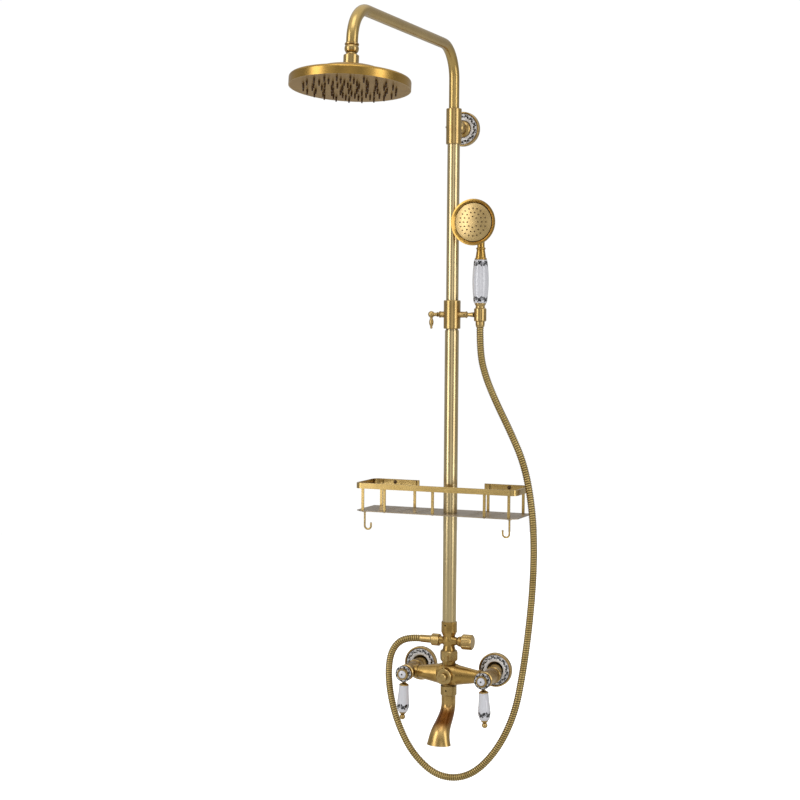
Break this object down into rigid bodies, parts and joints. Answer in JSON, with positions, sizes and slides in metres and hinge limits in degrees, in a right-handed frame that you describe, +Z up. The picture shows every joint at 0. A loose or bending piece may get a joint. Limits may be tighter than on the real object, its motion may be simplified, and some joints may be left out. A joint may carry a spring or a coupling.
{
  "type": "rainfall shower column",
  "caption": "Wall-mounted exposed shower column in antique brass and porcelain: two-lever mixer, diverter, telescopic column, rain head, hand shower on slider, hose and shelf",
  "frame": {"origin": "on the finished wall, midway between the two water inlets", "axes": "+X to the right facing the wall, +Y into the wall, +Z up"},
  "size_m": [0.3473, 0.6359, 1.3702],
  "materials": {
    "antique_brass": "antique brushed brass, satin",
    "brushed_brass_tube": "antique brass drawn tube, fine lengthwise brushing",
    "porcelain": "glazed white porcelain with a dark blue vine band",
    "shelf_bronze": "grey-bronze sheet, satin",
    "hose_spiral": "antique brass double-interlock spiral",
    "nozzle_rubber": "soft dark nozzle rubber",
    "plastic_parts": "acetal, natural",
    "black_steel": "blackened steel",
    "dark_screws": "bronzed steel"
  },
  "bodies": {
    "column": {"flange_rims": "antique_brass", "flange_porcelain_rings": "porcelain", "inlet_unions": "antique_brass", "inlet_nuts": "antique_brass", "mixer_body": "antique_brass", "riser_nut": "antique_brass", "valve_cartridges": "plastic_parts", "valve_bonnets": "antique_brass", "spout_collar": "antique_brass", "diverter_tee": "antique_brass", "grub_screws": "black_steel", "riser_lower": "brushed_brass_tube", "riser_middle": "brushed_brass_tube", "riser_upper": "brushed_brass_tube", "bracket_body": "antique_brass", "bracket_plate": "dark_screws", "bracket_boss": "antique_brass", "wall_screws": "dark_screws", "hose_bottom_nut": "antique_brass", "shower_hose": "hose_spiral", "shelf_rail": "antique_brass", "shelf_plate": "shelf_bronze", "shelf_posts": "antique_brass", "shelf_rivets": "antique_brass", "shelf_hooks": "antique_brass"},
    "arm_guide": {"arm_guide": "plastic_parts"},
    "arm": {"arm_tube": "brushed_brass_tube", "swivel_adapter": "antique_brass"},
    "head_seat": {"swivel_seat": "plastic_parts"},
    "rain_head": {"swivel_nut": "antique_brass", "rain_head_shell": "antique_brass", "rain_head_face": "antique_brass", "rain_head_nozzles": "nozzle_rubber"},
    "slider_bush": {"slider_bush": "plastic_parts"},
    "slider": {"slider_collar": "antique_brass"},
    "slider_lever": {"slider_lock": "antique_brass"},
    "cradle": {"handset_cradle": "antique_brass"},
    "handset": {"handset_tail": "antique_brass", "handset_grip": "porcelain", "handset_head": "antique_brass", "handset_face": "antique_brass", "handset_nozzles": "nozzle_rubber", "hose_top_nut": "antique_brass"},
    "hot_handle": {"hot_handle_hub": "antique_brass", "hot_handle_skirt": "porcelain", "hot_handle_cap": "porcelain", "hot_handle_grip": "porcelain", "hot_handle_finial": "antique_brass"},
    "cold_handle": {"cold_handle_hub": "antique_brass", "cold_handle_skirt": "porcelain", "cold_handle_cap": "porcelain", "cold_handle_grip": "porcelain", "cold_handle_finial": "antique_brass"},
    "dial": {"tub_dial": "antique_brass", "tub_dial_pin": "antique_brass"},
    "spout": {"spout": "antique_brass"},
    "diverter": {"diverter_knob": "antique_brass"},
    "bracket_lever": {"bracket_lock": "antique_brass"}
  },
  "joints": [
    {"name": "arm_height", "type": "slide", "parent": "column", "child": "arm_guide", "axis": [0, 0, 1], "range_m": [-0.025, 0.1]},
    {"name": "arm_turn", "type": "hinge", "parent": "arm_guide", "child": "arm", "pos_m": [0, -0.054, 1.011], "axis": [0, 0, 1], "range_deg": [-60, 60]},
    {"name": "head_pitch", "type": "hinge", "parent": "arm", "child": "head_seat", "pos_m": [0, -0.52, 1.074], "axis": [1, 0, 0], "range_deg": [-12, 12]},
    {"name": "head_roll", "type": "hinge", "parent": "head_seat", "child": "rain_head", "pos_m": [0, -0.52, 1.074], "axis": [0, 0.9945, -0.1045], "range_deg": [-12, 12]},
    {"name": "slider_height", "type": "slide", "parent": "column", "child": "slider_bush", "axis": [0, 0, 1], "range_m": [0, 0.19], "deforming": ["shower_hose"]},
    {"name": "slider_turn", "type": "hinge", "parent": "slider_bush", "child": "slider", "pos_m": [0, -0.054, 0.666], "axis": [0, 0, 1], "range_deg": [-60, 20]},
    {"name": "slider_lock", "type": "hinge", "parent": "slider", "child": "slider_lever", "pos_m": [-0.041, -0.054, 0.666], "axis": [-1, 0, 0], "range_deg": [-90, 90]},
    {"name": "holder_tilt", "type": "hinge", "parent": "slider", "child": "cradle", "pos_m": [0.055, -0.054, 0.666], "axis": [1, 0, 0], "range_deg": [-10, 30]},
    {"name": "handset_lift", "type": "slide", "parent": "cradle", "child": "handset", "axis": [0, 0, 1], "range_m": [0, 0.04]},
    {"name": "hot_handle_turn", "type": "hinge", "parent": "column", "child": "hot_handle", "pos_m": [-0.078, -0.08, -0.005], "axis": [0, 1, 0], "range_deg": [0, 90]},
    {"name": "cold_handle_turn", "type": "hinge", "parent": "column", "child": "cold_handle", "pos_m": [0.078, -0.08, -0.005], "axis": [0, -1, 0], "range_deg": [0, 90]},
    {"name": "tub_dial_turn", "type": "hinge", "parent": "column", "child": "dial", "pos_m": [0, -0.08, -0.005], "axis": [0, 1, 0], "range_deg": [-45, 45]},
    {"name": "spout_swivel", "type": "hinge", "parent": "column", "child": "spout", "pos_m": [0, -0.054, -0.04], "axis": [0, 0, 1], "range_deg": [-35, 35]},
    {"name": "diverter_turn", "type": "hinge", "parent": "column", "child": "diverter", "pos_m": [0.035, -0.054, 0.058], "axis": [1, 0, 0], "range_deg": [0, 180]},
    {"name": "bracket_lock_turn", "type": "hinge", "parent": "column", "child": "bracket_lever", "pos_m": [0, -0.0255, 1.03], "axis": [0, 0, 1], "range_deg": [-180, 180]}
  ]
}
